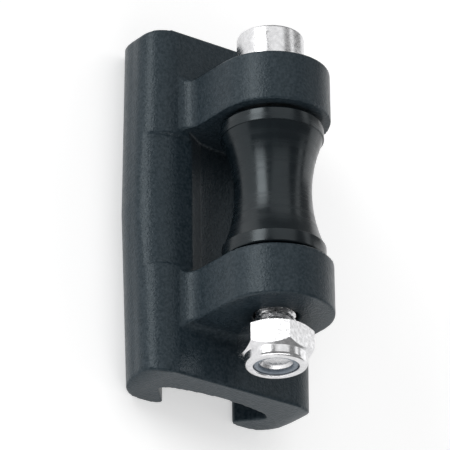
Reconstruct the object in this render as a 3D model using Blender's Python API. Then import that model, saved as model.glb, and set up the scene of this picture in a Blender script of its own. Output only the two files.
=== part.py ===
"""Track-mounted bow roller: a moulded slider body whose two ears carry a waisted roller on an M8 bolt.

The body lies on the lips of its track channel, on Z = 0, with the track running along X and the ears
standing up along Z. The roller turns about the bolt, which runs along X from its head at +X to its
lock nut at -X. Lengths are in metres.
"""
import math

import bmesh
import bpy
from mathutils import Matrix, Vector

MM = 0.001
RUNNING_GAP = 0.3 * MM

# Slider body: the channelled base.
BASE_LENGTH = 73.2 * MM
BASE_HALF_WIDTH = 20.5 * MM
BASE_SIDE_TAPER = 1.2 * MM
BASE_FRONT_Z = 14.65 * MM
BASE_STATIONS = 9
BASE_END_ALLOWANCE = 1.0 * MM
BACK_CORNER_WIDTH = 6.6 * MM
BACK_CORNER_HEIGHT = 7.3 * MM
FRONT_CORNER_WIDTH = 7.2 * MM
FRONT_CORNER_HEIGHT = 5.9 * MM
CORNER_STEPS = 7
END_CORNER_LENGTH = 1.0 * MM
END_CORNER_WIDTH = 4.0 * MM
END_CORNER_Y = 19.5 * MM

# Slider body: the channel that hooks round the track.
CHANNEL_CEILING_Z = 9.05 * MM
CHANNEL_ARCH_HALF_WIDTH = 11.5 * MM
CHANNEL_ARCH_SAG = 1.5 * MM
CHANNEL_ARCH_STEPS = 5
POCKET_HALF_WIDTH = 12.7 * MM
POCKET_Z = 6.2 * MM
POCKET_ROUND = 0.9 * MM
SLOT_HALF_WIDTH = 8.65 * MM
LIP_FACE_START = 10.2 * MM
LIP_TIP_Z = 1.0 * MM
LIP_SLOPE_START_Z = 1.8 * MM

# Slider body: the ears.
AXLE_Z = 26.45 * MM
EAR_RADIUS = 11.5 * MM
EAR_INNER_X = 15.3 * MM
EAR_OUTER_X = 25.7 * MM
EAR_FLARE = 2.0 * MM
EAR_ROOT_Z = 11.5 * MM
EAR_FOOT_RADIUS = 4.0 * MM
EAR_FOOT_Z = 14.25 * MM
EAR_TOP_STEPS = 24
EAR_FOOT_STEPS = 6

# Slider body: the shallow panels between the ears and the trough under the roller.
PANEL_HALF_LENGTH = 14.0 * MM
PANEL_DEPTH = 0.6 * MM
PANEL_SIDE_SPREAD = 0.15 * MM
TROUGH_HALF_LENGTH = EAR_INNER_X + 0.1 * MM
TROUGH_EDGE_Y = 10.2 * MM
TROUGH_FOOT_Y = 6.7 * MM
TROUGH_FOOT_Z = 12.0 * MM
TROUGH_FLOOR_Z = 11.2 * MM
TROUGH_FLOOR_STEPS = 4

# Roller.
ROLLER_HALF_LENGTH = 14.4 * MM
ROLLER_FLANGE_RADIUS = 10.1 * MM
ROLLER_GROOVE_HALF_LENGTH = 11.6 * MM
ROLLER_GROOVE_EDGE_RADIUS = 9.9 * MM
ROLLER_WAIST_RADIUS = 7.55 * MM
ROLLER_EDGE = 0.4 * MM
ROLLER_GROOVE_STEPS = 14
ROLLER_BORE_RADIUS = 4.6 * MM

# Flanged bushes in the roller's ends.
BUSH_END_X = 15.0 * MM
BUSH_FLANGE_THICKNESS = 1.0 * MM
BUSH_FLANGE_RADIUS = 7.0 * MM
BUSH_INNER_X = 5.3 * MM
BUSH_OUTER_RADIUS = 5.2 * MM

# Axle: an M8 socket-head bolt.
SHANK_RADIUS = 3.95 * MM
HEAD_SEAT_X = EAR_OUTER_X + RUNNING_GAP
HEAD_HEIGHT = 8.0 * MM
HEAD_RADIUS = 6.6 * MM
HEAD_CHAMFER = 0.6 * MM
SOCKET_ACROSS_FLATS = 6.0 * MM
SOCKET_DEPTH = 4.0 * MM
BOLT_LENGTH = 61.2 * MM
THREAD_START_X = -25.2 * MM
THREAD_PITCH = 1.25 * MM
THREAD_TURNS = 6
THREAD_ROOT_RADIUS = 3.25 * MM
BOLT_TIP_CHAMFER = 0.35 * MM

# Lock nut and its insert.
NUT_SEAT_X = -28.8 * MM
NUT_ACROSS_FLATS = 13.0 * MM
NUT_CORNER_RADIUS = 7.6 * MM
NUT_CHAMFER_RADIUS = 6.4 * MM
NUT_CHAMFER = 0.6 * MM
NUT_HEX_END_X = -33.9 * MM
NUT_END_X = -36.2 * MM
COLLAR_RADIUS = 6.1 * MM
COLLAR_ROUND = 0.8 * MM
COLLAR_LIP_RADIUS = 4.6 * MM
COLLAR_LIP_THICKNESS = 0.5 * MM
INSERT_SEAT_X = -33.6 * MM
INSERT_OUTER_RADIUS = 5.0 * MM
NUT_TURN = math.radians(13.5)

BODY_COLOUR = (0.035, 0.04, 0.043, 1)
ROLLER_COLOUR = (0.012, 0.013, 0.015, 1)
BUSH_COLOUR = (0.55, 0.54, 0.5, 1)
STEEL_COLOUR = (0.74, 0.74, 0.75, 1)
INSERT_COLOUR = (0.2, 0.24, 0.29, 1)

ROUND_SEGMENTS = 48
SMOOTH_ANGLE = math.radians(35)


def clear_scene():
    for item in list(bpy.data.objects):
        bpy.data.objects.remove(item, do_unlink=True)


def make_material(name, colour, roughness, metallic):
    material = bpy.data.materials.new(name)
    material.use_nodes = True
    shader = material.node_tree.nodes["Principled BSDF"]
    shader.inputs["Base Color"].default_value = colour
    shader.inputs["Roughness"].default_value = roughness
    shader.inputs["Metallic"].default_value = metallic
    return material


def add_object(name, mesh_data, material=None, parent=None):
    """Turn a bmesh into an object. A parent empty on the axle line makes its coordinates local."""
    bmesh.ops.recalc_face_normals(mesh_data, faces=mesh_data.faces)
    if parent is not None:
        mesh_data.transform(Matrix.Translation(-parent.location))
    mesh = bpy.data.meshes.new(name)
    mesh_data.to_mesh(mesh)
    mesh_data.free()
    item = bpy.data.objects.new(name, mesh)
    bpy.context.collection.objects.link(item)
    item.parent = parent
    if material is not None:
        mesh.materials.append(material)
        mesh.shade_smooth()
        mesh.set_sharp_from_angle(angle=SMOOTH_ANGLE)
    return item


def add_cutter(name, mesh_data, parent=None):
    cutter = add_object(name, mesh_data, parent=parent)
    cutter.hide_render = True
    cutter.display_type = "WIRE"
    return cutter


def add_boolean(item, other, operation):
    modifier = item.modifiers.new(other.name, "BOOLEAN")
    modifier.object = other
    modifier.operation = operation
    modifier.solver = "EXACT"


def add_pivot(name, location):
    pivot = bpy.data.objects.new(name, None)
    pivot.location = location
    bpy.context.collection.objects.link(pivot)
    return pivot


def arc(centre, radii, start, end, steps):
    """Points of an elliptical arc, both ends included, with the angles in degrees."""
    points = []
    for index in range(steps + 1):
        angle = math.radians(start + (end - start) * index / steps)
        points.append((centre[0] + radii[0] * math.cos(angle), centre[1] + radii[1] * math.sin(angle)))
    return points


def mirrored(half):
    """Close a half outline, which starts and ends on the centre line, with its mirror image."""
    return half + [(-across, height) for across, height in reversed(half[1:-1])]


def add_outline(mesh_data, outline, axis, level):
    """Make a face from points in the two other axes, taken in their order, at a level of one axis."""
    vertices = []
    for point in outline:
        position = list(point)
        position.insert(axis, level)
        vertices.append(mesh_data.verts.new(position))
    return mesh_data.faces.new(vertices)


def extrude_along(mesh_data, face, axis, distance):
    """Extrude a face along one axis and return the new end face."""
    result = bmesh.ops.extrude_face_region(mesh_data, geom=[face])
    moved = [part for part in result["geom"] if isinstance(part, bmesh.types.BMVert)]
    shift = Vector()
    shift[axis] = distance
    bmesh.ops.translate(mesh_data, vec=shift, verts=moved)
    return next(part for part in result["geom"] if isinstance(part, bmesh.types.BMFace))


def prisms(outline, axis, *spans):
    """One mesh of separate prisms, each with the same outline over its own (start, end) span of the axis."""
    mesh_data = bmesh.new()
    for start, end in spans:
        face = add_outline(mesh_data, outline, axis, start)
        extrude_along(mesh_data, face, axis, end - start)
    return mesh_data


def turned(profile, segments=ROUND_SEGMENTS):
    """Spin a closed profile of (x, radius) points about the axle line."""
    mesh_data = bmesh.new()
    vertices = [mesh_data.verts.new((x, 0, AXLE_Z + radius)) for x, radius in profile]
    edges = []
    for index, vertex in enumerate(vertices):
        following = (index + 1) % len(vertices)
        on_axis = profile[index][1] == 0 and profile[following][1] == 0
        if not on_axis:
            edges.append(mesh_data.edges.new((vertex, vertices[following])))
    bmesh.ops.spin(
        mesh_data,
        geom=vertices + edges,
        cent=(0, 0, AXLE_Z),
        axis=(1, 0, 0),
        angle=math.tau,
        steps=segments,
        use_merge=True,
    )
    bmesh.ops.remove_doubles(mesh_data, verts=mesh_data.verts, dist=0.001 * MM)
    return mesh_data


def hexagon(across_flats, turn):
    corner = across_flats / math.sqrt(3)
    points = []
    for index in range(6):
        angle = turn + index * math.pi / 3
        points.append((corner * math.cos(angle), AXLE_Z + corner * math.sin(angle)))
    return points


def channel_outline():
    """Half of the channel, from the middle of its ceiling to the outside of a lip's flat back."""
    sag = CHANNEL_ARCH_SAG
    half = CHANNEL_ARCH_HALF_WIDTH
    arch_radius = (half**2 + sag**2) / (2 * sag)
    points = []
    for index in range(CHANNEL_ARCH_STEPS + 1):
        y = half * index / CHANNEL_ARCH_STEPS
        drop = arch_radius - math.sqrt(arch_radius**2 - y**2)
        points.append((y, CHANNEL_CEILING_Z - drop))
    pocket_centre = (POCKET_HALF_WIDTH - POCKET_ROUND, POCKET_Z)
    points += arc(pocket_centre, (POCKET_ROUND, POCKET_ROUND), 55, -40, 4)
    points.append((SLOT_HALF_WIDTH + 0.3 * MM, LIP_SLOPE_START_Z))
    points.append((SLOT_HALF_WIDTH, LIP_SLOPE_START_Z - 0.3 * MM))
    tip_radii = (LIP_FACE_START - SLOT_HALF_WIDTH, LIP_TIP_Z)
    points += arc((LIP_FACE_START, LIP_TIP_Z), tip_radii, 180, 270, 3)
    return points


def base_outline():
    """The base's whole section in Y and Z."""
    back_centre = (BASE_HALF_WIDTH - BACK_CORNER_WIDTH, BACK_CORNER_HEIGHT)
    front_centre = (BASE_HALF_WIDTH - FRONT_CORNER_WIDTH, BASE_FRONT_Z - FRONT_CORNER_HEIGHT)
    half = channel_outline()
    half += arc(back_centre, (BACK_CORNER_WIDTH, BACK_CORNER_HEIGHT), -90, 0, CORNER_STEPS)
    half += arc(front_centre, (FRONT_CORNER_WIDTH, FRONT_CORNER_HEIGHT), 0, 90, CORNER_STEPS)
    half.append((0, BASE_FRONT_Z))
    return mirrored(half)


def base_mesh():
    """Extrude the section station by station, then draw the sides in towards the ends."""
    mesh_data = bmesh.new()
    half_length = BASE_LENGTH / 2
    start_x = -half_length - BASE_END_ALLOWANCE
    end_face = add_outline(mesh_data, base_outline(), 0, start_x)
    for station in range(1, BASE_STATIONS):
        inner_face = end_face
        end_face = extrude_along(mesh_data, inner_face, 0, -2 * start_x / (BASE_STATIONS - 1))
        if station > 1:
            bmesh.ops.delete(mesh_data, geom=[inner_face], context="FACES_ONLY")
    for vertex in mesh_data.verts:
        across = (abs(vertex.co.y) - POCKET_HALF_WIDTH) / (BASE_HALF_WIDTH - POCKET_HALF_WIDTH)
        below_front = (BASE_FRONT_Z - vertex.co.z) / (BASE_FRONT_Z - BACK_CORNER_HEIGHT)
        if across > 0:
            share = across * min(1, below_front)
            inward = BASE_SIDE_TAPER * share * abs(vertex.co.x) / half_length
            vertex.co.y -= math.copysign(inward, vertex.co.y)
    return mesh_data


def plan_outline():
    """The base seen along Z: flat ends with rounded corners, standing clear of the tapered sides."""
    half_length = BASE_LENGTH / 2
    corner_centre = (half_length - END_CORNER_LENGTH, END_CORNER_Y - END_CORNER_WIDTH)
    corner = arc(corner_centre, (END_CORNER_LENGTH, END_CORNER_WIDTH), 0, 90, CORNER_STEPS)
    clear_y = BASE_HALF_WIDTH + 2 * MM
    side = corner + [(half_length - 4 * END_CORNER_LENGTH, clear_y)]
    far_side = [(-x, y) for x, y in reversed(side)]
    upper = side + far_side
    return upper + [(-x, -y) for x, y in upper]


def ear_outline():
    """The ears' outline: a round top, straight flanks and a foot that flares into the base."""
    foot_centre = (EAR_RADIUS + EAR_FOOT_RADIUS, EAR_FOOT_Z + EAR_FOOT_RADIUS)
    half = [(0, EAR_ROOT_Z), (foot_centre[0], EAR_ROOT_Z)]
    half += arc(foot_centre, (EAR_FOOT_RADIUS, EAR_FOOT_RADIUS), 270, 180, EAR_FOOT_STEPS)
    half += arc((0, AXLE_Z), (EAR_RADIUS, EAR_RADIUS), 0, 90, EAR_TOP_STEPS // 2)
    return mirrored(half)


def flare_outline(side):
    """What the ear's outer face clears, seen along Y: a flat face whose foot sweeps out onto the base."""
    high = AXLE_Z + EAR_RADIUS + 2 * MM
    foot_z = BASE_FRONT_Z - 0.05 * MM
    clear_x = EAR_OUTER_X + EAR_FLARE + 2 * MM
    points = [(EAR_OUTER_X, high)]
    points += arc((EAR_OUTER_X + EAR_FLARE, foot_z + EAR_FLARE), (EAR_FLARE, EAR_FLARE), 180, 270, 6)
    points += [(clear_x, foot_z), (clear_x, high)]
    return [(side * x, z) for x, z in points]


def panel_outline():
    """What lies over the panels: the base's own front and corners, lowered and spread a little."""
    corner_centre_z = BASE_FRONT_Z - PANEL_DEPTH - FRONT_CORNER_HEIGHT
    corner_centre = (BASE_HALF_WIDTH - FRONT_CORNER_WIDTH, corner_centre_z)
    corner_radii = (FRONT_CORNER_WIDTH + PANEL_SIDE_SPREAD, FRONT_CORNER_HEIGHT)
    clear_y = BASE_HALF_WIDTH + 2 * MM
    clear_z = BASE_FRONT_Z + MM
    half = [(0, BASE_FRONT_Z - PANEL_DEPTH)]
    half += arc(corner_centre, corner_radii, 90, 0, CORNER_STEPS)
    half += [(clear_y, corner_centre_z), (clear_y, clear_z), (0, clear_z)]
    return mirrored(half)


def trough_outline():
    """The trough under the roller: a slightly dished floor between two sloping walls."""
    rise = TROUGH_FOOT_Z - TROUGH_FLOOR_Z
    floor_radius = (TROUGH_FOOT_Y**2 + rise**2) / (2 * rise)
    reach = math.degrees(math.asin(TROUGH_FOOT_Y / floor_radius))
    floor_centre = (0, TROUGH_FLOOR_Z + floor_radius)
    half = arc(floor_centre, (floor_radius, floor_radius), 270, 270 + reach, TROUGH_FLOOR_STEPS)
    wall_slope = (TROUGH_EDGE_Y - TROUGH_FOOT_Y) / (BASE_FRONT_Z - PANEL_DEPTH - TROUGH_FOOT_Z)
    clear_z = BASE_FRONT_Z + MM
    half += [(TROUGH_FOOT_Y + wall_slope * (clear_z - TROUGH_FOOT_Z), clear_z), (0, clear_z)]
    return mirrored(half)


def cylinder_profile(start_x, end_x, radius):
    return [(start_x, 0), (start_x, radius), (end_x, radius), (end_x, 0)]


def build_slider_body(material):
    body = add_object("slider_body", base_mesh(), material)
    plan = add_cutter("plan_trimmer", prisms(plan_outline(), 2, (-2 * MM, BASE_FRONT_Z + 2 * MM)))
    add_boolean(body, plan, "INTERSECT")
    ear_end_x = EAR_OUTER_X + EAR_FLARE
    ear_mesh = prisms(ear_outline(), 0, (-ear_end_x, -EAR_INNER_X), (EAR_INNER_X, ear_end_x))
    ears = add_cutter("ear_blocks", ear_mesh)
    for name, side in (("head_end_flare_cutter", 1), ("nut_end_flare_cutter", -1)):
        flare = add_cutter(name, prisms(flare_outline(side), 1, (-BASE_HALF_WIDTH, BASE_HALF_WIDTH)))
        add_boolean(ears, flare, "DIFFERENCE")
    add_boolean(body, ears, "UNION")
    recesses = (
        ("panel_cutter", panel_outline(), PANEL_HALF_LENGTH),
        ("trough_cutter", trough_outline(), TROUGH_HALF_LENGTH),
    )
    for name, outline, half_span in recesses:
        recess = add_cutter(name, prisms(outline, 0, (-half_span, half_span)))
        add_boolean(body, recess, "DIFFERENCE")
    bore_profile = cylinder_profile(BASE_LENGTH, -BASE_LENGTH, SHANK_RADIUS + RUNNING_GAP)
    bore = add_cutter("axle_bore_cutter", turned(bore_profile))
    add_boolean(body, bore, "DIFFERENCE")
    return body


def groove_profile():
    """The concave groove of the roller, as an arc through its edges and its waist."""
    half = ROLLER_GROOVE_HALF_LENGTH
    depth = ROLLER_GROOVE_EDGE_RADIUS - ROLLER_WAIST_RADIUS
    groove_radius = (half**2 + depth**2) / (2 * depth)
    points = []
    for index in range(ROLLER_GROOVE_STEPS + 1):
        x = half - 2 * half * index / ROLLER_GROOVE_STEPS
        rise = groove_radius - math.sqrt(groove_radius**2 - x**2)
        points.append((x, ROLLER_WAIST_RADIUS + rise))
    return points


def roller_end(side):
    """The roller's end from its bore out to the groove's edge, at +X for side 1 and -X for side -1."""
    recess_radius = BUSH_FLANGE_RADIUS + RUNNING_GAP
    recess_x = BUSH_END_X - BUSH_FLANGE_THICKNESS - RUNNING_GAP
    seat_radius = BUSH_OUTER_RADIUS + RUNNING_GAP
    points = [
        (BUSH_INNER_X - RUNNING_GAP, ROLLER_BORE_RADIUS),
        (BUSH_INNER_X - RUNNING_GAP, seat_radius),
        (recess_x, seat_radius),
        (recess_x, recess_radius),
        (ROLLER_HALF_LENGTH, recess_radius),
        (ROLLER_HALF_LENGTH, ROLLER_FLANGE_RADIUS - ROLLER_EDGE),
        (ROLLER_HALF_LENGTH - ROLLER_EDGE, ROLLER_FLANGE_RADIUS),
        (ROLLER_GROOVE_HALF_LENGTH, ROLLER_FLANGE_RADIUS),
    ]
    return [(side * x, radius) for x, radius in points]


def build_roller(material, pivot):
    profile = roller_end(1) + groove_profile() + list(reversed(roller_end(-1)))
    return add_object("roller", turned(profile), material, pivot)


def build_bush(name, side, material, pivot):
    inner_radius = SHANK_RADIUS + RUNNING_GAP
    flange_x = BUSH_END_X - BUSH_FLANGE_THICKNESS
    points = [
        (BUSH_INNER_X, inner_radius),
        (BUSH_INNER_X, BUSH_OUTER_RADIUS),
        (flange_x, BUSH_OUTER_RADIUS),
        (flange_x, BUSH_FLANGE_RADIUS),
        (BUSH_END_X, BUSH_FLANGE_RADIUS),
        (BUSH_END_X, inner_radius),
    ]
    return add_object(name, turned([(side * x, radius) for x, radius in points]), material, pivot)


def thread_profile():
    """The thread as rings: crests at the shank's radius and roots one thread depth below."""
    points = []
    for turn in range(THREAD_TURNS):
        x = THREAD_START_X - turn * THREAD_PITCH
        points.append((x, SHANK_RADIUS))
        points.append((x - THREAD_PITCH / 2, THREAD_ROOT_RADIUS))
    end_x = THREAD_START_X - THREAD_TURNS * THREAD_PITCH
    points.append((end_x, SHANK_RADIUS))
    points.append((end_x - THREAD_PITCH / 2, THREAD_ROOT_RADIUS))
    return points


def build_bolt(material, pivot):
    head_top = HEAD_SEAT_X + HEAD_HEIGHT
    tip_x = HEAD_SEAT_X - BOLT_LENGTH
    profile = [
        (head_top, 0),
        (head_top, HEAD_RADIUS - HEAD_CHAMFER),
        (head_top - HEAD_CHAMFER, HEAD_RADIUS),
        (HEAD_SEAT_X, HEAD_RADIUS),
        (HEAD_SEAT_X, SHANK_RADIUS),
    ]
    profile += thread_profile()
    profile += [
        (tip_x + BOLT_TIP_CHAMFER, THREAD_ROOT_RADIUS),
        (tip_x, THREAD_ROOT_RADIUS - BOLT_TIP_CHAMFER),
        (tip_x, 0),
    ]
    bolt = add_object("axle_bolt", turned(profile), material, pivot)
    socket_outline = hexagon(SOCKET_ACROSS_FLATS, 0)
    socket_mesh = prisms(socket_outline, 0, (head_top - SOCKET_DEPTH, head_top + SOCKET_DEPTH))
    socket = add_cutter("socket_cutter", socket_mesh, pivot)
    add_boolean(bolt, socket, "DIFFERENCE")
    return bolt


def build_nut(material, pivot):
    bore_radius = SHANK_RADIUS + RUNNING_GAP
    groove_radius = INSERT_OUTER_RADIUS + RUNNING_GAP
    lip_x = NUT_END_X + COLLAR_LIP_THICKNESS
    profile = [
        (NUT_SEAT_X, bore_radius),
        (NUT_SEAT_X, NUT_CHAMFER_RADIUS),
        (NUT_SEAT_X - NUT_CHAMFER, NUT_CORNER_RADIUS),
        (NUT_HEX_END_X + NUT_CHAMFER, NUT_CORNER_RADIUS),
        (NUT_HEX_END_X, NUT_CHAMFER_RADIUS),
        (NUT_HEX_END_X, COLLAR_RADIUS),
    ]
    round_centre = (NUT_END_X + COLLAR_ROUND, COLLAR_RADIUS - COLLAR_ROUND)
    profile += arc(round_centre, (COLLAR_ROUND, COLLAR_ROUND), 90, 180, 4)
    profile += [
        (NUT_END_X, COLLAR_LIP_RADIUS),
        (lip_x, COLLAR_LIP_RADIUS),
        (lip_x, groove_radius),
        (INSERT_SEAT_X, groove_radius),
        (INSERT_SEAT_X, bore_radius),
    ]
    nut = add_object("lock_nut", turned(profile), material, pivot)
    margin = 2 * MM
    hex_span = (NUT_END_X - margin, NUT_SEAT_X + margin)
    hex_mesh = prisms(hexagon(NUT_ACROSS_FLATS, NUT_TURN), 0, hex_span)
    add_boolean(nut, add_cutter("nut_hexagon", hex_mesh, pivot), "INTERSECT")
    return nut


def build_insert(material, pivot):
    start_x = INSERT_SEAT_X - RUNNING_GAP
    end_x = NUT_END_X + COLLAR_LIP_THICKNESS + RUNNING_GAP
    inner_radius = THREAD_ROOT_RADIUS + RUNNING_GAP
    profile = [
        (start_x, inner_radius),
        (start_x, INSERT_OUTER_RADIUS),
        (end_x, INSERT_OUTER_RADIUS),
        (end_x, inner_radius),
    ]
    return add_object("lock_nut_insert", turned(profile), material, pivot)


def main():
    clear_scene()
    axle_line = Vector((0, 0, AXLE_Z))
    roller_pivot = add_pivot("roller_pivot", axle_line)
    axle_pivot = add_pivot("axle_pivot", axle_line)
    steel = make_material("stainless_steel", STEEL_COLOUR, 0.25, 1)
    bush = make_material("bush_polymer", BUSH_COLOUR, 0.45, 0)
    build_slider_body(make_material("body_nylon", BODY_COLOUR, 0.55, 0))
    build_roller(make_material("roller_acetal", ROLLER_COLOUR, 0.2, 0), roller_pivot)
    build_bush("roller_bush_head_end", 1, bush, roller_pivot)
    build_bush("roller_bush_nut_end", -1, bush, roller_pivot)
    build_bolt(steel, axle_pivot)
    build_nut(steel, axle_pivot)
    build_insert(make_material("insert_nylon", INSERT_COLOUR, 0.4, 0), axle_pivot)


main()
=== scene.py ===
import math

import bmesh
import bpy
from mathutils import Matrix, Vector


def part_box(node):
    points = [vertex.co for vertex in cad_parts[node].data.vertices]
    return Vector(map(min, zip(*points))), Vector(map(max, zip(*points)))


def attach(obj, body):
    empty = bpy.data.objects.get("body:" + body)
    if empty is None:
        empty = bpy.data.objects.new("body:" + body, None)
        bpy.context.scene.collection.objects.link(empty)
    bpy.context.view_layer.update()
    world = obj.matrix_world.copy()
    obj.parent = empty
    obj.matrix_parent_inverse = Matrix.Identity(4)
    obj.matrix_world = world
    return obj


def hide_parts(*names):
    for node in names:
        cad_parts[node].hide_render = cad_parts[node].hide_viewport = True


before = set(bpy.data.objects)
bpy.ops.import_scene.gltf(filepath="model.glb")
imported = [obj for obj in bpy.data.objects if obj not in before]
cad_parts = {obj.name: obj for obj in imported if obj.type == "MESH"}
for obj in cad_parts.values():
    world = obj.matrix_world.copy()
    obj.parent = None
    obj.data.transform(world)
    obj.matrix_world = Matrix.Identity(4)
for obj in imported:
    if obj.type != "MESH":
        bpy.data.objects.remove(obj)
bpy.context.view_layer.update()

# Every length is in metres, in the CAD frame: X along the axle, Z out from the track.
MM = 0.001

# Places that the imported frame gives.
BODY_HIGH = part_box("slider_body")[1]
ROLLER_LOW, ROLLER_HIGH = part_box("roller")
BUSH_LOW, BUSH_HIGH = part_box("roller_bush_head_end")
BOLT_LOW, BOLT_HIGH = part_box("axle_bolt")
NUT_LOW, NUT_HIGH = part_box("lock_nut")
INSERT_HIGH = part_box("lock_nut_insert")[1]
HALF_LENGTH = BODY_HIGH.x
HALF_WIDTH = BODY_HIGH.y
AXLE_Z = (ROLLER_LOW.z + ROLLER_HIGH.z) / 2
EAR_RADIUS = BODY_HIGH.z - AXLE_Z
ROLLER_END_X = ROLLER_HIGH.x
FLANGE_RADIUS = ROLLER_HIGH.z - AXLE_Z
HEAD_RADIUS = BOLT_HIGH.y

# Slider body.
SIDE_TAPER = 1.2 * MM
FRONT_Z = 14.65 * MM
BACK_CORNER = (6.6 * MM, 7.3 * MM)
FRONT_CORNER = (7.2 * MM, 5.9 * MM)
END_CORNER = (1.0 * MM, 4.0 * MM)
END_CORNER_Y = 19.5 * MM
CEILING_Z = 9.05 * MM
ARCH_HALF_WIDTH = 11.5 * MM
ARCH_SAG = 1.5 * MM
POCKET_HALF_WIDTH = 12.7 * MM
POCKET_Z = 6.2 * MM
POCKET_ROUND = 0.9 * MM
SLOT_HALF_WIDTH = 8.65 * MM
LIP_FACE_START = 10.2 * MM
LIP_TIP_Z = 1.0 * MM
LIP_SLOPE_START_Z = 1.8 * MM
LIP_EDGE = 0.3 * MM
EAR_INNER_X = 15.3 * MM
EAR_OUTER_X = 25.7 * MM
EAR_FLARE = 2.0 * MM
EAR_ROOT_Z = 11.5 * MM
EAR_FOOT_RADIUS = 4.0 * MM
EAR_FOOT_Z = 14.25 * MM
EAR_FOOT_OVERLAP = 0.05 * MM
EAR_RIM_ROUND = 0.8 * MM
PANEL_HALF_LENGTH = 14.0 * MM
PANEL_DEPTH = 0.6 * MM
PANEL_SIDE_SPREAD = 0.15 * MM
TROUGH_HALF_LENGTH = EAR_INNER_X
TROUGH_EDGE_Y = 10.2 * MM
TROUGH_FOOT_Y = 6.7 * MM
TROUGH_FOOT_Z = 12.0 * MM
TROUGH_FLOOR_Z = 11.2 * MM
BORE_RADIUS = 4.25 * MM

# How finely the body is drawn, and how many passes soften its edges.
BASE_STEPS = 24
BODY_VOXEL = 0.3 * MM
BODY_SMOOTHING = 3

# Roller and bushes.
GROOVE_HALF_LENGTH = 11.6 * MM
GROOVE_EDGE_RADIUS = 9.9 * MM
WAIST_RADIUS = 7.55 * MM
FLANGE_ROUND = 0.45 * MM
GROOVE_EDGE_ROUND = 0.12 * MM
ROLLER_BORE_RADIUS = 4.6 * MM
BUSH_SEAT_RADIUS = 5.3 * MM
BUSH_RECESS_RADIUS = 7.2 * MM
BUSH_RECESS_X = 13.8 * MM
BUSH_RECESS_CHAMFER = 0.2 * MM
BUSH_EDGE = 0.15 * MM
BUSH_CLEARANCE = 0.1 * MM

# Bolt.
SHANK_RADIUS = 3.95 * MM
THREAD_DEPTH = 0.65 * MM
THREAD_PITCH = 1.25 * MM
THREAD_START_X = -24.5 * MM
TIP_CHAMFER = 0.7 * MM
TIP_CUP_RADIUS = 3.15 * MM
TIP_CUP_DEPTH = 0.5 * MM
TIP_CUP_DISH = 0.1 * MM
RUNNING_GAP = 0.3 * MM
HEAD_SEAT_X = EAR_OUTER_X + RUNNING_GAP
HEAD_ROUND = 0.7 * MM
SEAT_EDGE_ROUND = 0.25 * MM
SOCKET_ACROSS_FLATS = 6.0 * MM
SOCKET_DEPTH = 4.0 * MM
SOCKET_DRILL_RADIUS = 2.6 * MM
SOCKET_DRILL_POINT = 1.4 * MM
SOCKET_CHAMFER = 0.2 * MM

# The thread's flat crest and its flank, as shares of half a pitch, and the steps it is drawn in.
THREAD_CREST = 0.12
THREAD_FLANK = 0.72
THREAD_STEPS = 16
CHAMFER_STEPS = 10

# Lock nut and its insert.
HEX_ACROSS_FLATS = 13.0 * MM
HEX_CORNER_RADIUS = 7.6 * MM
HEX_FACE_RADIUS = 6.35 * MM
HEX_SEAT_CHAMFER = 0.65 * MM
HEX_END_CHAMFER = 1.04 * MM
HEX_END_X = -33.9 * MM
HEX_TURN = math.radians(13.5)
COLLAR_RADIUS = 6.1 * MM
COLLAR_LIP_RADIUS = 4.4 * MM
COLLAR_ROUND = 0.85 * MM
COLLAR_LIP_ROUND = 0.3 * MM
COLLAR_LIP_THICKNESS = 0.7 * MM
COLLAR_ROOT_RISE = 0.15 * MM
COLLAR_ROOT_LENGTH = 0.1 * MM
NUT_BORE_CHAMFER = 0.5 * MM
NUT_CLEARANCE = 0.05 * MM
INSERT_BITE = 0.6 * MM
INSERT_BULGE = 0.3 * MM
INSERT_FACE_DEPTH = 0.35 * MM
INSERT_SHOULDER_DEPTH = 0.75 * MM
INSERT_LIP_GAP = 0.06 * MM

# Steps round a turned piece and along an arc, and how far cutters reach past what they cut.
TURN_STEPS = 160
ARC_STEPS = 20
CUTTER_REACH = 2 * MM

# The stage: each softbox's tilts from Z towards +X and +Y in degrees, its distance, width and
# height in metres, and its radiance.
SOFTBOXES = {
    "key_softbox": (25, 71, 1.5, 0.66, 1.1, 5.4),
    "ceiling_softbox": (30, 15, 0.8, 0.7, 0.8, 0.88),
    "right_strip": (25, -42, 0.7, 0.16, 0.6, 1.1),
    "right_wall": (0, -76, 0.8, 0.5, 0.74, 1.15),
    "nut_end_softbox": (-62, 37, 0.6, 0.9, 0.15, 3.4),
}
SKY_STRENGTH = 0.26
FLOOR_HALF_SIZE = 3.0
FLOOR_GLOW = 0.42

# The camera: the point it aims at, its tilts from Z, its roll and its distance.
PART_MIDDLE_Z = 13.05 * MM
TILT_TO_NUT_END = math.radians(25.22)
TILT_TO_SIDE = math.radians(36.91)
CAMERA_ROLL = math.radians(-0.77)
CAMERA_DISTANCE = 0.886
AIM_RIGHT = -1.30 * MM
AIM_UP = -1.05 * MM
PICTURE_WIDTH = 87.85 * MM


def arc(centre, radii, start, end, steps=ARC_STEPS):
    """Points of an elliptical arc, both ends included, with the angles in degrees."""
    points = []
    for index in range(steps + 1):
        angle = math.radians(start + (end - start) * index / steps)
        across = centre[0] + radii[0] * math.cos(angle)
        points.append((across, centre[1] + radii[1] * math.sin(angle)))
    return points


def mirrored(half):
    """Close a half outline, which starts and ends on the centre line, with its mirror image."""
    return half + [(-across, height) for across, height in reversed(half[1:-1])]


def mesh_object(name, mesh_data):
    """A linked object that takes over the mesh data, with its faces turned outwards."""
    bmesh.ops.recalc_face_normals(mesh_data, faces=mesh_data.faces)
    mesh = bpy.data.meshes.new(name)
    mesh_data.to_mesh(mesh)
    mesh_data.free()
    item = bpy.data.objects.new(name, mesh)
    bpy.context.scene.collection.objects.link(item)
    return item


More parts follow.
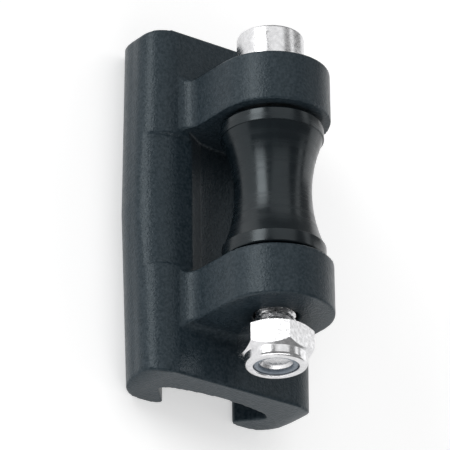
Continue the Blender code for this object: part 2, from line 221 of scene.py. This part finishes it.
def bake_modifiers(item, *helpers):
    """Keep the evaluated mesh as the object's own, and drop its modifiers and helper objects."""
    bpy.context.view_layer.update()
    graph = bpy.context.evaluated_depsgraph_get()
    mesh = bpy.data.meshes.new_from_object(item.evaluated_get(graph))
    mesh.name = item.name
    item.modifiers.clear()
    item.data = mesh
    for helper in helpers:
        bpy.data.objects.remove(helper)
    return item


def combine(item, other, operation):
    """Queue a boolean with another object, for bake_modifiers to carry out."""
    modifier = item.modifiers.new(other.name, "BOOLEAN")
    modifier.object = other
    modifier.operation = operation
    modifier.solver = "EXACT"


def loft(outlines, axis=0):
    """A solid through closed outlines, each a (level, points) pair across the given axis."""
    mesh_data = bmesh.new()
    rings = []
    for level, outline in outlines:
        ring = []
        for point in outline:
            position = list(point)
            position.insert(axis, level)
            ring.append(mesh_data.verts.new(position))
        rings.append(ring)
    for ring, following in zip(rings, rings[1:]):
        for index in range(len(ring)):
            after = (index + 1) % len(ring)
            mesh_data.faces.new((ring[index], ring[after], following[after], following[index]))
    mesh_data.faces.new(rings[0])
    mesh_data.faces.new(rings[-1])
    return mesh_data


def prism(name, outline, start, end, axis=0):
    """A closed outline drawn out along the given axis."""
    return mesh_object(name, loft([(start, outline), (end, outline)], axis))


def lathe(profile, radius_at=None):
    """Turn a closed profile of (x, radius) points about the axle; radius_at varies it round."""
    mesh_data = bmesh.new()
    rings = []
    for x, radius in profile:
        if radius == 0:
            rings.append([mesh_data.verts.new((x, 0, AXLE_Z))])
            continue
        ring = []
        for index in range(TURN_STEPS):
            angle = math.tau * index / TURN_STEPS
            out = radius if radius_at is None else radius_at(x, radius, angle)
            y = out * math.cos(angle)
            ring.append(mesh_data.verts.new((x, y, AXLE_Z + out * math.sin(angle))))
        rings.append(ring)
    for ring, following in zip(rings, rings[1:] + rings[:1]):
        for index in range(TURN_STEPS):
            after = (index + 1) % TURN_STEPS
            corners = [ring[index % len(ring)], ring[after % len(ring)]]
            corners += [following[after % len(following)], following[index % len(following)]]
            distinct = list(dict.fromkeys(corners))
            if len(distinct) > 2:
                mesh_data.faces.new(distinct)
    return mesh_data


def hexagon_prism(name, across_flats, turn, start_x, end_x):
    """A hexagon about the axle, with a corner at the given turn from +Y."""
    corner = across_flats / math.sqrt(3)
    outline = []
    for index in range(6):
        angle = turn + index * math.pi / 3
        outline.append((corner * math.cos(angle), AXLE_Z + corner * math.sin(angle)))
    return prism(name, outline, start_x, end_x)


def smooth_shade(item, sharp_degrees=None):
    """Shade smooth, apart from edges that turn more sharply than the given angle."""
    item.data.shade_smooth()
    if sharp_degrees is not None:
        item.data.set_sharp_from_angle(angle=math.radians(sharp_degrees))


# ---------------------------------------------------------------- materials


# The faint blue of what the charcoal and black plastics reflect.
COOL_TINT = (0.86, 0.96, 1.0, 1)

# Noise keeps mostly to this middle part of its range.
NOISE_LOW = 0.35
NOISE_HIGH = 0.65


def new_material(name):
    material = bpy.data.materials.new(name)
    material.use_nodes = True
    shader = material.node_tree.nodes["Principled BSDF"]
    return material, material.node_tree, shader


def noise(tree, scale, detail, stretch=(1, 1, 1)):
    """Noise in the piece's own space: at scale 1000 its features are about a millimetre across."""
    place = tree.nodes.new("ShaderNodeTexCoord")
    mapping = tree.nodes.new("ShaderNodeMapping")
    mapping.inputs["Scale"].default_value = stretch
    texture = tree.nodes.new("ShaderNodeTexNoise")
    texture.inputs["Scale"].default_value = scale
    texture.inputs["Detail"].default_value = detail
    tree.links.new(place.outputs["Object"], mapping.inputs["Vector"])
    tree.links.new(mapping.outputs["Vector"], texture.inputs["Vector"])
    return texture.outputs["Fac"]


def ramp(tree, source, low, high):
    """Spread a noise over a range of greys or colours."""
    node = tree.nodes.new("ShaderNodeValToRGB")
    node.color_ramp.elements[0].position = NOISE_LOW
    node.color_ramp.elements[1].position = NOISE_HIGH
    node.color_ramp.elements[0].color = low
    node.color_ramp.elements[1].color = high
    tree.links.new(source, node.inputs["Fac"])
    return node.outputs["Color"]


def grey(value):
    return (value, value, value, 1)


def bump(tree, source, distance, strength, base=None):
    node = tree.nodes.new("ShaderNodeBump")
    node.inputs["Distance"].default_value = distance
    node.inputs["Strength"].default_value = strength
    tree.links.new(source, node.inputs["Height"])
    if base is not None:
        tree.links.new(base, node.inputs["Normal"])
    return node.outputs["Normal"]


def nylon_material():
    """Charcoal glass-filled nylon: satin, speckled and finely grained."""
    material, tree, shader = new_material("moulded_nylon")
    speckle = ramp(tree, noise(tree, 1800, 6), (0.009, 0.017, 0.023, 1), (0.026, 0.037, 0.046, 1))
    tree.links.new(speckle, shader.inputs["Base Color"])
    shader.inputs["Specular IOR Level"].default_value = 0.26
    shader.inputs["Specular Tint"].default_value = COOL_TINT
    patches = ramp(tree, noise(tree, 900, 5), grey(0.28), grey(0.38))
    tree.links.new(patches, shader.inputs["Roughness"])
    waves = bump(tree, noise(tree, 500, 3), 0.02 * MM, 0.6)
    grain = bump(tree, noise(tree, 2600, 2), 0.09 * MM, 1.0, waves)
    tree.links.new(grain, shader.inputs["Normal"])
    return material


def acetal_material():
    """Black acetal, turned and polished."""
    material, tree, shader = new_material("black_acetal")
    tone = ramp(tree, noise(tree, 300, 2), (0.002, 0.004, 0.006, 1), (0.004, 0.007, 0.009, 1))
    tree.links.new(tone, shader.inputs["Base Color"])
    shader.inputs["Specular IOR Level"].default_value = 0.4
    shader.inputs["Specular Tint"].default_value = COOL_TINT
    turning = noise(tree, 900, 3, (1, 0.04, 0.04))
    tree.links.new(ramp(tree, turning, grey(0.2), grey(0.3)), shader.inputs["Roughness"])
    tree.links.new(bump(tree, turning, 0.004 * MM, 0.5), shader.inputs["Normal"])
    return material


def steel_material(name, smoothest, roughest, unevenness):
    """Stainless steel with the fine mottling of a tumbled fastener."""
    material, tree, shader = new_material(name)
    shader.inputs["Metallic"].default_value = 1.0
    tone = ramp(tree, noise(tree, 1200, 4), (0.62, 0.62, 0.63, 1), (0.74, 0.74, 0.75, 1))
    tree.links.new(tone, shader.inputs["Base Color"])
    mottle = ramp(tree, noise(tree, 1600, 4), grey(smoothest), grey(roughest))
    tree.links.new(mottle, shader.inputs["Roughness"])
    dents = bump(tree, noise(tree, 1500, 3), 0.008 * MM, unevenness)
    tree.links.new(dents, shader.inputs["Normal"])
    return material


def insert_material():
    """The slate blue nylon of a lock nut's ring."""
    material, tree, shader = new_material("insert_nylon")
    tone = ramp(tree, noise(tree, 1500, 2), (0.10, 0.13, 0.16, 1), (0.15, 0.18, 0.22, 1))
    tree.links.new(tone, shader.inputs["Base Color"])
    shader.inputs["Roughness"].default_value = 0.35
    return material


def bush_material():
    """Natural, off-white acetal."""
    material, tree, shader = new_material("natural_acetal")
    tone = ramp(tree, noise(tree, 800, 2), (0.52, 0.51, 0.47, 1), (0.60, 0.59, 0.55, 1))
    tree.links.new(tone, shader.inputs["Base Color"])
    shader.inputs["Roughness"].default_value = 0.4
    return material


# ---------------------------------------------------------------- slider body


def channel_outline():
    """Half of the track channel, from the middle of its ceiling to a lip's flat back."""
    arch_radius = (ARCH_HALF_WIDTH**2 + ARCH_SAG**2) / (2 * ARCH_SAG)
    points = []
    for index in range(ARC_STEPS + 1):
        y = ARCH_HALF_WIDTH * index / ARC_STEPS
        points.append((y, CEILING_Z - arch_radius + math.sqrt(arch_radius**2 - y**2)))
    pocket_centre = (POCKET_HALF_WIDTH - POCKET_ROUND, POCKET_Z)
    points += arc(pocket_centre, (POCKET_ROUND, POCKET_ROUND), 55, -40)
    points.append((SLOT_HALF_WIDTH + LIP_EDGE, LIP_SLOPE_START_Z))
    points.append((SLOT_HALF_WIDTH, LIP_SLOPE_START_Z - LIP_EDGE))
    tip_radii = (LIP_FACE_START - SLOT_HALF_WIDTH, LIP_TIP_Z)
    points += arc((LIP_FACE_START, LIP_TIP_Z), tip_radii, 180, 270, steps=8)
    return points


def base_outline():
    """The base seen along X: the channel, two rounded corners on each side and a flat front."""
    back_centre = (HALF_WIDTH - BACK_CORNER[0], BACK_CORNER[1])
    front_centre = (HALF_WIDTH - FRONT_CORNER[0], FRONT_Z - FRONT_CORNER[1])
    half = channel_outline()
    half += arc(back_centre, BACK_CORNER, -90, 0)
    half += arc(front_centre, FRONT_CORNER, 0, 90)
    half.append((0, FRONT_Z))
    return mirrored(half)


def tapered_base():
    """The channelled base, widest at mid length, longer than its finished length."""
    reach = HALF_LENGTH + MM
    outline = base_outline()
    stations = []
    for index in range(BASE_STEPS + 1):
        x = reach * (2 * index / BASE_STEPS - 1)
        drawn = []
        for y, z in outline:
            across = max(0, (abs(y) - POCKET_HALF_WIDTH) / (HALF_WIDTH - POCKET_HALF_WIDTH))
            share = across * min(1, (FRONT_Z - z) / (FRONT_Z - BACK_CORNER[1]))
            drawn.append((y - math.copysign(SIDE_TAPER * share * abs(x) / HALF_LENGTH, y), z))
        stations.append((x, drawn))
    return mesh_object("slider_moulding", loft(stations))


def plan_trimmer():
    """The base seen along Z: flat ends with rounded corners, clear of the tapered sides."""
    corner_centre = (HALF_LENGTH - END_CORNER[0], END_CORNER_Y - END_CORNER[1])
    side = arc(corner_centre, END_CORNER, 0, 90)
    side.append((HALF_LENGTH - 4 * END_CORNER[0], HALF_WIDTH + CUTTER_REACH))
    upper = side + [(-x, y) for x, y in reversed(side)]
    outline = upper + [(-x, -y) for x, y in upper]
    return prism("plan_trimmer", outline, -CUTTER_REACH, FRONT_Z + CUTTER_REACH, axis=2)


def flare_cutter(side):
    """What the ear's outer face clears: a flat face whose foot sweeps out onto the base."""
    clear_z = BODY_HIGH.z + CUTTER_REACH
    foot_z = FRONT_Z - EAR_FOOT_OVERLAP
    clear_x = EAR_OUTER_X + EAR_FLARE + CUTTER_REACH
    points = [(EAR_OUTER_X, clear_z)]
    flare_centre = (EAR_OUTER_X + EAR_FLARE, foot_z + EAR_FLARE)
    points += arc(flare_centre, (EAR_FLARE, EAR_FLARE), 180, 270)
    points += [(clear_x, foot_z), (clear_x, clear_z)]
    outline = [(side * x, z) for x, z in points]
    return prism("flare_cutter", outline, -HALF_WIDTH, HALF_WIDTH, axis=1)


def make_ear(side):
    """One ear: a rounded rim on both faces, and a foot that flares out on three sides."""
    foot_centre = (EAR_RADIUS + EAR_FOOT_RADIUS, EAR_FOOT_Z + EAR_FOOT_RADIUS)
    half = [(0, EAR_ROOT_Z), (foot_centre[0], EAR_ROOT_Z)]
    half += arc(foot_centre, (EAR_FOOT_RADIUS, EAR_FOOT_RADIUS), 270, 180)
    half += arc((0, AXLE_Z), (EAR_RADIUS, EAR_RADIUS), 0, 90, steps=2 * ARC_STEPS)
    item = prism("ear", mirrored(half), side * EAR_INNER_X, side * (EAR_OUTER_X + EAR_FLARE))
    cutter = flare_cutter(side)
    combine(item, cutter, "DIFFERENCE")
    rim = item.modifiers.new("rim", "BEVEL")
    rim.width = EAR_RIM_ROUND
    rim.segments = 3
    rim.limit_method = "ANGLE"
    rim.angle_limit = math.radians(60)
    return bake_modifiers(item, cutter)


def panel_cutter():
    """What lies over the panels: the base's own front and corners, lowered and spread a little."""
    corner_centre_z = FRONT_Z - PANEL_DEPTH - FRONT_CORNER[1]
    corner_centre = (HALF_WIDTH - FRONT_CORNER[0], corner_centre_z)
    half = [(0, FRONT_Z - PANEL_DEPTH)]
    half += arc(corner_centre, (FRONT_CORNER[0] + PANEL_SIDE_SPREAD, FRONT_CORNER[1]), 90, 0)
    clear_y = HALF_WIDTH + CUTTER_REACH
    clear_z = FRONT_Z + MM
    half += [(clear_y, corner_centre_z), (clear_y, clear_z), (0, clear_z)]
    return prism("panel_cutter", mirrored(half), -PANEL_HALF_LENGTH, PANEL_HALF_LENGTH)


def trough_cutter():
    """The trough under the roller: a slightly dished floor between two sloping walls."""
    rise = TROUGH_FOOT_Z - TROUGH_FLOOR_Z
    floor_radius = (TROUGH_FOOT_Y**2 + rise**2) / (2 * rise)
    reach = math.degrees(math.asin(TROUGH_FOOT_Y / floor_radius))
    half = arc((0, TROUGH_FLOOR_Z + floor_radius), (floor_radius, floor_radius), 270, 270 + reach)
    wall_slope = (TROUGH_EDGE_Y - TROUGH_FOOT_Y) / (FRONT_Z - PANEL_DEPTH - TROUGH_FOOT_Z)
    clear_z = FRONT_Z + MM
    half += [(TROUGH_FOOT_Y + wall_slope * (clear_z - TROUGH_FOOT_Z), clear_z), (0, clear_z)]
    return prism("trough_cutter", mirrored(half), -TROUGH_HALF_LENGTH, TROUGH_HALF_LENGTH)


def make_body():
    """The whole moulding: base, ears, panels, trough and bore, with every edge softened."""
    body = tapered_base()
    bore_profile = [
        (HALF_LENGTH, 0),
        (HALF_LENGTH, BORE_RADIUS),
        (-HALF_LENGTH, BORE_RADIUS),
        (-HALF_LENGTH, 0),
    ]
    steps = [
        (plan_trimmer(), "INTERSECT"),
        (make_ear(1), "UNION"),
        (make_ear(-1), "UNION"),
        (panel_cutter(), "DIFFERENCE"),
        (trough_cutter(), "DIFFERENCE"),
        (mesh_object("bore_cutter", lathe(bore_profile)), "DIFFERENCE"),
    ]
    for helper, operation in steps:
        combine(body, helper, operation)
    remesh = body.modifiers.new("remesh", "REMESH")
    remesh.mode = "VOXEL"
    remesh.voxel_size = BODY_VOXEL
    remesh.use_smooth_shade = True
    soften = body.modifiers.new("soften", "SMOOTH")
    soften.factor = 0.5
    soften.iterations = BODY_SMOOTHING
    bake_modifiers(body, *[helper for helper, operation in steps])
    smooth_shade(body)
    return body


# ---------------------------------------------------------------- roller and its bushes


def roller_half_profile():
    """The roller from its bore to the edge of its groove, at the head end."""
    bush_inner_x = BUSH_LOW.x
    points = [
        (bush_inner_x, ROLLER_BORE_RADIUS),
        (bush_inner_x, BUSH_SEAT_RADIUS),
        (BUSH_RECESS_X, BUSH_SEAT_RADIUS),
        (BUSH_RECESS_X, BUSH_RECESS_RADIUS),
        (ROLLER_END_X - BUSH_RECESS_CHAMFER, BUSH_RECESS_RADIUS),
        (ROLLER_END_X, BUSH_RECESS_RADIUS + BUSH_RECESS_CHAMFER),
    ]
    rim_centre = (ROLLER_END_X - FLANGE_ROUND, FLANGE_RADIUS - FLANGE_ROUND)
    points += arc(rim_centre, (FLANGE_ROUND, FLANGE_ROUND), 0, 90, steps=8)
    edge_centre = (GROOVE_HALF_LENGTH + GROOVE_EDGE_ROUND, FLANGE_RADIUS - GROOVE_EDGE_ROUND)
    points += arc(edge_centre, (GROOVE_EDGE_ROUND, GROOVE_EDGE_ROUND), 90, 180, steps=4)
    return points


def make_roller():
    depth = GROOVE_EDGE_RADIUS - WAIST_RADIUS
    groove_radius = (GROOVE_HALF_LENGTH**2 + depth**2) / (2 * depth)
    head_half = roller_half_profile()
    groove = []
    steps = 3 * ARC_STEPS
    for index in range(steps + 1):
        x = GROOVE_HALF_LENGTH * (1 - 2 * index / steps)
        groove.append((x, WAIST_RADIUS + groove_radius - math.sqrt(groove_radius**2 - x**2)))
    nut_half = [(-x, radius) for x, radius in reversed(head_half)]
    roller = mesh_object("turned_roller", lathe(head_half + groove + nut_half))
    smooth_shade(roller, sharp_degrees=40)
    return roller


def make_bush(name, side):
    inner_radius = SHANK_RADIUS + BUSH_CLEARANCE
    flange_x = BUSH_RECESS_X + BUSH_CLEARANCE
    outer_x = BUSH_HIGH.x
    flange_radius = BUSH_HIGH.y
    points = [
        (BUSH_LOW.x, inner_radius),
        (BUSH_LOW.x, BUSH_SEAT_RADIUS - BUSH_EDGE),
        (BUSH_LOW.x + BUSH_EDGE, BUSH_SEAT_RADIUS),
        (flange_x, BUSH_SEAT_RADIUS),
        (flange_x, flange_radius),
        (outer_x - BUSH_EDGE, flange_radius),
        (outer_x, flange_radius - BUSH_EDGE),
        (outer_x, inner_radius + BUSH_EDGE),
        (outer_x - BUSH_EDGE, inner_radius),
    ]
    bush = mesh_object(name, lathe([(side * x, radius) for x, radius in points]))
    smooth_shade(bush, sharp_degrees=40)
    return bush


# ---------------------------------------------------------------- bolt, nut and insert


def thread_shape(turns):
    """The depth of a thread over one turn: 0 on its flat crest, 1 at its root."""
    place = turns % 1.0
    slope = min(place, 1.0 - place) * 2.0
    return min(1.0, max(0.0, (slope - THREAD_CREST) / THREAD_FLANK))


def threaded_radius(x, radius, angle):
    """Cut the thread into the shank beyond its start, fading in over one turn."""
    if x > THREAD_START_X or radius < SHANK_RADIUS - THREAD_DEPTH:
        return radius
    fade = min(1.0, (THREAD_START_X - x) / THREAD_PITCH)
    cut = SHANK_RADIUS - THREAD_DEPTH * fade * thread_shape(x / THREAD_PITCH + angle / math.tau)
    return min(radius, cut)


def bolt_profile():
    head_top = BOLT_HIGH.x
    tip = BOLT_LOW.x
    points = [(head_top, 0), (head_top, HEAD_RADIUS * 0.5)]
    top_centre = (head_top - HEAD_ROUND, HEAD_RADIUS - HEAD_ROUND)
    points += arc(top_centre, (HEAD_ROUND, HEAD_ROUND), 0, 90, steps=8)
    seat_centre = (HEAD_SEAT_X + SEAT_EDGE_ROUND, HEAD_RADIUS - SEAT_EDGE_ROUND)
    points += arc(seat_centre, (SEAT_EDGE_ROUND, SEAT_EDGE_ROUND), 90, 180, steps=4)
    points += [(HEAD_SEAT_X, SHANK_RADIUS), (THREAD_START_X, SHANK_RADIUS)]
    chamfer_x = tip + TIP_CHAMFER
    steps = round((THREAD_START_X - chamfer_x) / THREAD_PITCH * THREAD_STEPS)
    for index in range(1, steps + 1):
        share = index / steps
        points.append((THREAD_START_X + (chamfer_x - THREAD_START_X) * share, SHANK_RADIUS))
    for index in range(1, CHAMFER_STEPS + 1):
        cut = TIP_CHAMFER * index / CHAMFER_STEPS
        points.append((chamfer_x - cut, SHANK_RADIUS - cut))
    cup_x = tip + TIP_CUP_DEPTH
    points.append((tip, TIP_CUP_RADIUS))
    points.append((cup_x, TIP_CUP_RADIUS - TIP_CUP_DEPTH))
    points.append((cup_x + TIP_CUP_DISH, 0))
    return points


def make_bolt():
    bolt = mesh_object("socket_head_bolt", lathe(bolt_profile(), threaded_radius))
    head_top = BOLT_HIGH.x
    floor_x = head_top - SOCKET_DEPTH
    socket = hexagon_prism("socket_cutter", SOCKET_ACROSS_FLATS, 0.0, floor_x, head_top + MM)
    corner_radius = SOCKET_ACROSS_FLATS / math.sqrt(3)
    mouth_profile = [
        (head_top + SOCKET_CHAMFER, 0),
        (head_top + SOCKET_CHAMFER, corner_radius + 2 * SOCKET_CHAMFER),
        (head_top - 2 * SOCKET_CHAMFER, corner_radius - SOCKET_CHAMFER),
        (head_top - 2 * SOCKET_CHAMFER, 0),
    ]
    mouth = mesh_object("mouth_cutter", lathe(mouth_profile))
    drill_profile = [
        (floor_x + MM, 0),
        (floor_x + MM, SOCKET_DRILL_RADIUS),
        (floor_x, SOCKET_DRILL_RADIUS),
        (floor_x - SOCKET_DRILL_POINT, 0),
    ]
    drill = mesh_object("drill_cutter", lathe(drill_profile))
    cutters = (socket, mouth, drill)
    for cutter in cutters:
        combine(bolt, cutter, "DIFFERENCE")
    bake_modifiers(bolt, *cutters)
    smooth_shade(bolt, sharp_degrees=30)
    return bolt


def nut_profile():
    """The nut's blank: chamfered hexagon, turned collar, rolled lip, insert groove and bore."""
    seat_x = NUT_HIGH.x
    end_x = NUT_LOW.x
    bore = SHANK_RADIUS + NUT_CLEARANCE
    groove_x = INSERT_HIGH.x
    groove_radius = INSERT_HIGH.y + NUT_CLEARANCE
    points = [
        (seat_x - NUT_BORE_CHAMFER, bore),
        (seat_x, bore + NUT_BORE_CHAMFER),
        (seat_x, HEX_FACE_RADIUS),
        (seat_x - HEX_SEAT_CHAMFER, HEX_CORNER_RADIUS),
        (HEX_END_X + HEX_END_CHAMFER, HEX_CORNER_RADIUS),
        (HEX_END_X, COLLAR_RADIUS + COLLAR_ROOT_RISE),
        (HEX_END_X - COLLAR_ROOT_LENGTH, COLLAR_RADIUS),
    ]
    collar_centre = (end_x + COLLAR_ROUND, COLLAR_RADIUS - COLLAR_ROUND)
    points += arc(collar_centre, (COLLAR_ROUND, COLLAR_ROUND), 90, 180, steps=10)
    lip_centre = (end_x + COLLAR_LIP_ROUND, COLLAR_LIP_RADIUS + COLLAR_LIP_ROUND)
    points += arc(lip_centre, (COLLAR_LIP_ROUND, COLLAR_LIP_ROUND), 180, 270, steps=6)
    lip_back = end_x + COLLAR_LIP_THICKNESS
    points += [
        (lip_back, COLLAR_LIP_RADIUS),
        (lip_back, groove_radius),
        (groove_x, groove_radius),
        (groove_x, bore),
    ]
    return points


def make_nut():
    nut = mesh_object("nyloc_nut", lathe(nut_profile()))
    start_x = NUT_LOW.x - CUTTER_REACH
    end_x = NUT_HIGH.x + CUTTER_REACH
    hexagon = hexagon_prism("hexagon", HEX_ACROSS_FLATS, HEX_TURN, start_x, end_x)
    combine(nut, hexagon, "INTERSECT")
    bake_modifiers(nut, hexagon)
    smooth_shade(nut, sharp_degrees=25)
    return nut


def make_insert():
    """The nylon ring: its inner edge bulges where the thread has pressed into it."""
    outer_radius = INSERT_HIGH.y
    inner_radius = SHANK_RADIUS - INSERT_BITE
    visible_radius = COLLAR_LIP_RADIUS - INSERT_LIP_GAP
    start_x = INSERT_HIGH.x
    shoulder_x = NUT_LOW.x + INSERT_SHOULDER_DEPTH
    points = [
        (start_x, inner_radius),
        (start_x, outer_radius),
        (shoulder_x, outer_radius),
        (shoulder_x, visible_radius),
    ]
    bulge = ((visible_radius - inner_radius) / 2, INSERT_BULGE)
    bulge_x = NUT_LOW.x + INSERT_FACE_DEPTH + INSERT_BULGE
    middle_radius = (visible_radius + inner_radius) / 2
    for radius, x in arc((middle_radius, bulge_x), bulge, 0, -180, steps=12):
        points.append((x, radius))
    insert = mesh_object("nylon_ring", lathe(points))
    smooth_shade(insert, sharp_degrees=40)
    return insert


# ---------------------------------------------------------------- assembly


def install(piece, material, body, slot, *nodes):
    """Give a piece its material and body, and hide the CAD nodes that it stands in for; its slot
    is not used.
    """
    piece.data.materials.clear()
    piece.data.materials.append(material)
    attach(piece, body)
    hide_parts(*nodes)


bush_finish = bush_material()
install(make_body(), nylon_material(), "slider", "body_nylon", "slider_body")
install(make_roller(), acetal_material(), "roller", "roller_acetal", "roller")
head_bush = make_bush("bush_head_end", 1)
install(head_bush, bush_finish, "roller", "bush_polymer", "roller_bush_head_end")
nut_bush = make_bush("bush_nut_end", -1)
install(nut_bush, bush_finish, "roller", "bush_polymer", "roller_bush_nut_end")
bolt_steel = steel_material("bolt_steel", smoothest=0.2, roughest=0.34, unevenness=0.3)
install(make_bolt(), bolt_steel, "axle", "stainless_steel", "axle_bolt")
nut_steel = steel_material("nut_steel", smoothest=0.16, roughest=0.26, unevenness=0.12)
install(make_nut(), nut_steel, "axle", "stainless_steel", "lock_nut")
install(make_insert(), insert_material(), "axle", "insert_nylon", "lock_nut_insert")

# ---------------------------------------------------------------- stage, light and camera


def make_floor():
    mesh_data = bmesh.new()
    bmesh.ops.create_grid(mesh_data, x_segments=1, y_segments=1, size=FLOOR_HALF_SIZE)
    floor = mesh_object("floor", mesh_data)
    material, tree, shader = new_material("pale_floor")
    tone = ramp(tree, noise(tree, 3, 2), grey(0.86), grey(0.88))
    tree.links.new(tone, shader.inputs["Base Color"])
    shader.inputs["Roughness"].default_value = 0.9
    shader.inputs["Specular IOR Level"].default_value = 0.1
    shader.inputs["Emission Color"].default_value = (1.0, 1.0, 1.0, 1)
    shader.inputs["Emission Strength"].default_value = FLOOR_GLOW
    floor.data.materials.append(material)


def direction(tilt_to_head_end, tilt_to_side):
    """A unit vector from the part: tilted from Z towards +Y, then towards +X."""
    level = math.cos(tilt_to_head_end)
    return Vector((
        math.sin(tilt_to_head_end),
        level * math.sin(tilt_to_side),
        level * math.cos(tilt_to_side),
    ))


def axes_facing(out, roll=0.0):
    """The right and up directions seen from out, with X up in the view before it is rolled."""
    up = Vector((1, 0, 0)) - out * out.x
    up.normalize()
    right = up.cross(out)
    rolled_right = right * math.cos(roll) + up * math.sin(roll)
    rolled_up = up * math.cos(roll) - right * math.sin(roll)
    return rolled_right, rolled_up


def add_at(name, data, place, right, up, out):
    """Link an object whose own X, Y and Z axes point right, up and out from its place."""
    item = bpy.data.objects.new(name, data)
    bpy.context.scene.collection.objects.link(item)
    item.matrix_world = Matrix((
        (right.x, up.x, out.x, place.x),
        (right.y, up.y, out.y, place.y),
        (right.z, up.z, out.z, place.z),
        (0, 0, 0, 1),
    ))
    return item


def softbox(name, towards_head, towards_side, distance, width, height, radiance):
    """An area light of the given radiance, aimed at the roller, its height running along X."""
    light = bpy.data.lights.new(name, "AREA")
    light.shape = "RECTANGLE"
    light.size = width
    light.size_y = height
    light.energy = radiance * math.pi * width * height
    out = direction(math.radians(towards_head), math.radians(towards_side))
    right, up = axes_facing(out)
    add_at(name, light, Vector((0, 0, AXLE_Z)) + out * distance, right, up, out)


def make_camera():
    out = direction(-TILT_TO_NUT_END, TILT_TO_SIDE)
    right, up = axes_facing(out, CAMERA_ROLL)
    aim = Vector((0, 0, PART_MIDDLE_Z)) + right * AIM_RIGHT + up * AIM_UP
    camera_data = bpy.data.cameras.new("camera")
    camera_data.sensor_width = 36.0
    camera_data.lens = camera_data.sensor_width * CAMERA_DISTANCE / PICTURE_WIDTH
    camera_data.clip_start = 0.05
    camera = add_at("camera", camera_data, aim + out * CAMERA_DISTANCE, right, up, out)
    bpy.context.scene.camera = camera


def make_world(strength):
    world = bpy.data.worlds.new("studio")
    world.use_nodes = True
    background = world.node_tree.nodes["Background"]
    background.inputs["Color"].default_value = (1.0, 1.0, 1.0, 1)
    background.inputs["Strength"].default_value = strength
    bpy.context.scene.world = world


make_floor()
make_world(SKY_STRENGTH)
for name, values in SOFTBOXES.items():
    softbox(name, *values)
make_camera()
bpy.context.scene.view_settings.view_transform = "Standard"
